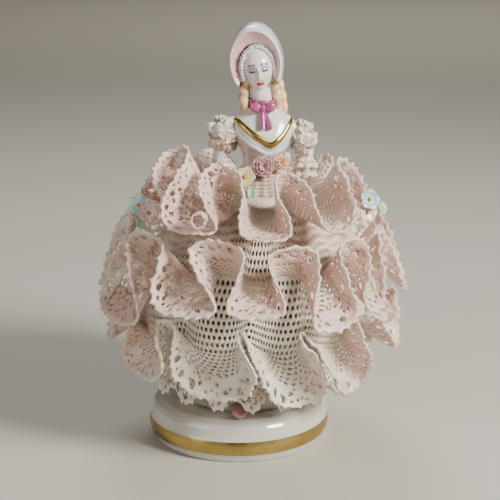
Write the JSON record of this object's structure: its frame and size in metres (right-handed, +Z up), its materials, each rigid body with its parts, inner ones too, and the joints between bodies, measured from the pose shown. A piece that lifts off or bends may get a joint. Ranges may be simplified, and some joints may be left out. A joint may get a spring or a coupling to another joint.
{
  "type": "porcelain lace figurine",
  "caption": "Porcelain lady in a bonnet and a ball-shaped dress of stiff lace flounces, standing on a low round glazed base with a gilt band.",
  "frame": {"origin": "centre of the flat underside of the round base", "axes": "+Z up through the base, -Y the way the lady faces, +X to the right of someone looking at her"},
  "size_m": [0.1093, 0.1115, 0.1479],
  "materials": {
    "glazed_white": "clear gloss glaze over white porcelain",
    "lace_bisque": "lightly glazed dipped lace, cream shading to pale pink at the borders",
    "bonnet_glaze": "pearly blue-white outside and pale pink inside",
    "mauve_glaze": "glossy mauve overglaze colour",
    "peach_glaze": "satin peach overglaze colour",
    "yellow_glaze": "satin cream yellow with an orange centre",
    "blue_glaze": "satin pale blue with pink petals",
    "green_glaze": "satin pale green"
  },
  "bodies": {
    "root": {"base": "glazed_white", "figure": "glazed_white", "bonnet": "bonnet_glaze", "choker_bow": "mauve_glaze", "left_sleeve": "lace_bisque", "right_sleeve": "lace_bisque", "upper_flounce": "lace_bisque", "middle_flounce": "lace_bisque", "lower_flounce": "lace_bisque", "hem_flounce": "lace_bisque", "mauve_rose": "mauve_glaze", "peach_rose": "peach_glaze", "yellow_flower": "yellow_glaze", "waist_leaf": "green_glaze", "left_hip_flower": "blue_glaze", "left_hip_leaf": "green_glaze", "right_hip_flower": "blue_glaze", "right_hip_bloom": "blue_glaze", "right_hip_leaf": "green_glaze", "lace_curl": "lace_bisque"}
  },
  "joints": []
}
